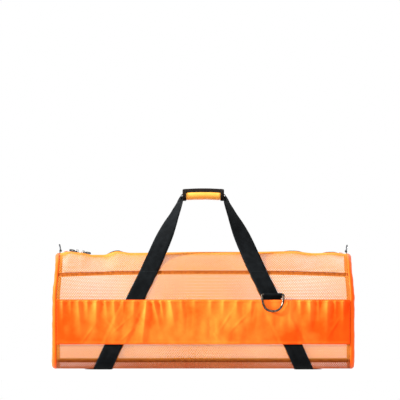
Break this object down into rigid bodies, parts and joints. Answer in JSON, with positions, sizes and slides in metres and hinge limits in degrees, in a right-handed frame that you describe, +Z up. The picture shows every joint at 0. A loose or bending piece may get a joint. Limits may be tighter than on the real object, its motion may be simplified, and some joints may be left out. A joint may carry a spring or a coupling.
{
  "type": "mesh dive gear bag",
  "caption": "Long see-through net duffel with a gathered nylon band, solid ends, a top zip, webbing handles joined by a padded grip, and metal rings.",
  "frame": {"origin": "on the floor below the middle of the whole bag's box", "axes": "+Z up, +X along the bag to the right of the front view, front faces -Y"},
  "size_m": [0.8008, 0.3764, 0.482],
  "materials": {
    "net": "open knitted polyester net, see-through",
    "nylon": "coated plain-weave nylon, soft sheen",
    "seam_tape": "folded nylon seam tape",
    "webbing": "woven polypropylene webbing",
    "zip": "woven zip tape and nylon coil",
    "ring_metal": "dark nickel plating",
    "slider_metal": "nickel-plated die casting",
    "pull": "moulded rubberised pull"
  },
  "bodies": {
    "bag": {"bottom_panel": "net", "front_panel": "net", "back_panel": "net", "top_panel_front": "net", "top_panel_back": "net", "seam_tape_upper_front": "seam_tape", "seam_tape_upper_back": "seam_tape", "seam_tape_lower_front": "seam_tape", "seam_tape_lower_back": "seam_tape", "end_binding_left": "seam_tape", "end_binding_right": "seam_tape", "end_panel_left": "nylon", "end_panel_right": "nylon", "front_band": "nylon", "back_band": "nylon", "handle_web_front": "webbing", "handle_web_back": "webbing", "handle_wrap": "nylon", "wrap_binding": "webbing", "ring_tab": "webbing", "end_tab_left": "webbing", "end_tab_right": "webbing", "zip_tape_front": "zip", "zip_tape_back": "zip", "zip_chain": "zip", "zip_end_tab_left": "nylon", "zip_end_tab_right": "nylon", "slider_left": "slider_metal", "slider_right": "slider_metal"},
    "front_ring_body": {"front_ring": "ring_metal"},
    "end_ring_left_body": {"end_ring_left": "ring_metal"},
    "end_ring_right_body": {"end_ring_right": "ring_metal"},
    "pull_left_body": {"pull_left": "pull"},
    "pull_right_body": {"pull_right": "pull"}
  },
  "joints": [
    {"name": "front_ring_swing", "type": "hinge", "parent": "bag", "child": "front_ring_body", "pos_m": [0.184, -0.17998, 0.19865], "axis": [-1, 0, 0], "range_deg": [0, 160]},
    {"name": "end_ring_left_swing", "type": "hinge", "parent": "bag", "child": "end_ring_left_body", "pos_m": [-0.37953, 0.00189, 0.31585], "axis": [0, -1, 0], "range_deg": [-85, 85]},
    {"name": "end_ring_right_swing", "type": "hinge", "parent": "bag", "child": "end_ring_right_body", "pos_m": [0.37953, 0.00189, 0.31398], "axis": [0, 1, 0], "range_deg": [-85, 85]},
    {"name": "pull_left_lift", "type": "hinge", "parent": "bag", "child": "pull_left_body", "pos_m": [-0.33557, 0.00189, 0.31396], "axis": [0, 1, 0], "range_deg": [0, 100]},
    {"name": "pull_right_lift", "type": "hinge", "parent": "bag", "child": "pull_right_body", "pos_m": [-0.3199, 0.00189, 0.31151], "axis": [0, -1, 0], "range_deg": [0, 100]}
  ]
}
